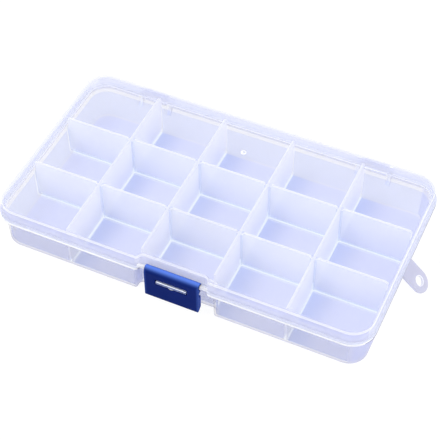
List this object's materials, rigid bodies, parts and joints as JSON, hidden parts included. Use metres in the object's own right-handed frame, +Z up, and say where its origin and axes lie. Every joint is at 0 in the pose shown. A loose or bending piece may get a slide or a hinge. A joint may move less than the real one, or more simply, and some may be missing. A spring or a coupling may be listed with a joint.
{
  "type": "compartment storage box",
  "caption": "Shallow clear plastic organiser box with a hinged lid, loose dividers between fixed partitions, a blue snap latch and a hanging tab.",
  "frame": {"origin": "centre of the tray's flat underside", "axes": "+X along the long side towards the hanging tab, -Y towards the latch, +Z up"},
  "size_m": [0.1853, 0.1017, 0.0247],
  "materials": {
    "tray_plastic": "frosted translucent polypropylene",
    "lid_plastic": "clear, slightly milky polypropylene",
    "divider_plastic": "frosted translucent polypropylene",
    "latch_plastic": "moulded, satin gloss"
  },
  "bodies": {
    "tray": {"base": "tray_plastic", "divider_1_front": "divider_plastic", "divider_1_back": "divider_plastic", "divider_2_front": "divider_plastic", "divider_2_back": "divider_plastic", "divider_3_front": "divider_plastic", "divider_3_back": "divider_plastic", "divider_4_front": "divider_plastic", "divider_4_back": "divider_plastic", "divider_5_front": "divider_plastic", "divider_5_back": "divider_plastic"},
    "cover": {"lid": "lid_plastic"},
    "snap_latch": {"latch": "latch_plastic"}
  },
  "joints": [
    {"name": "lid_hinge", "type": "hinge", "parent": "tray", "child": "cover", "pos_m": [0, 0.05, 0.0174], "axis": [-1, 0, 0], "range_deg": [0, 180]},
    {"name": "latch_hinge", "type": "hinge", "parent": "cover", "child": "snap_latch", "pos_m": [0, -0.0471, 0.0188], "axis": [-1, 0, 0], "range_deg": [0, 120]}
  ]
}
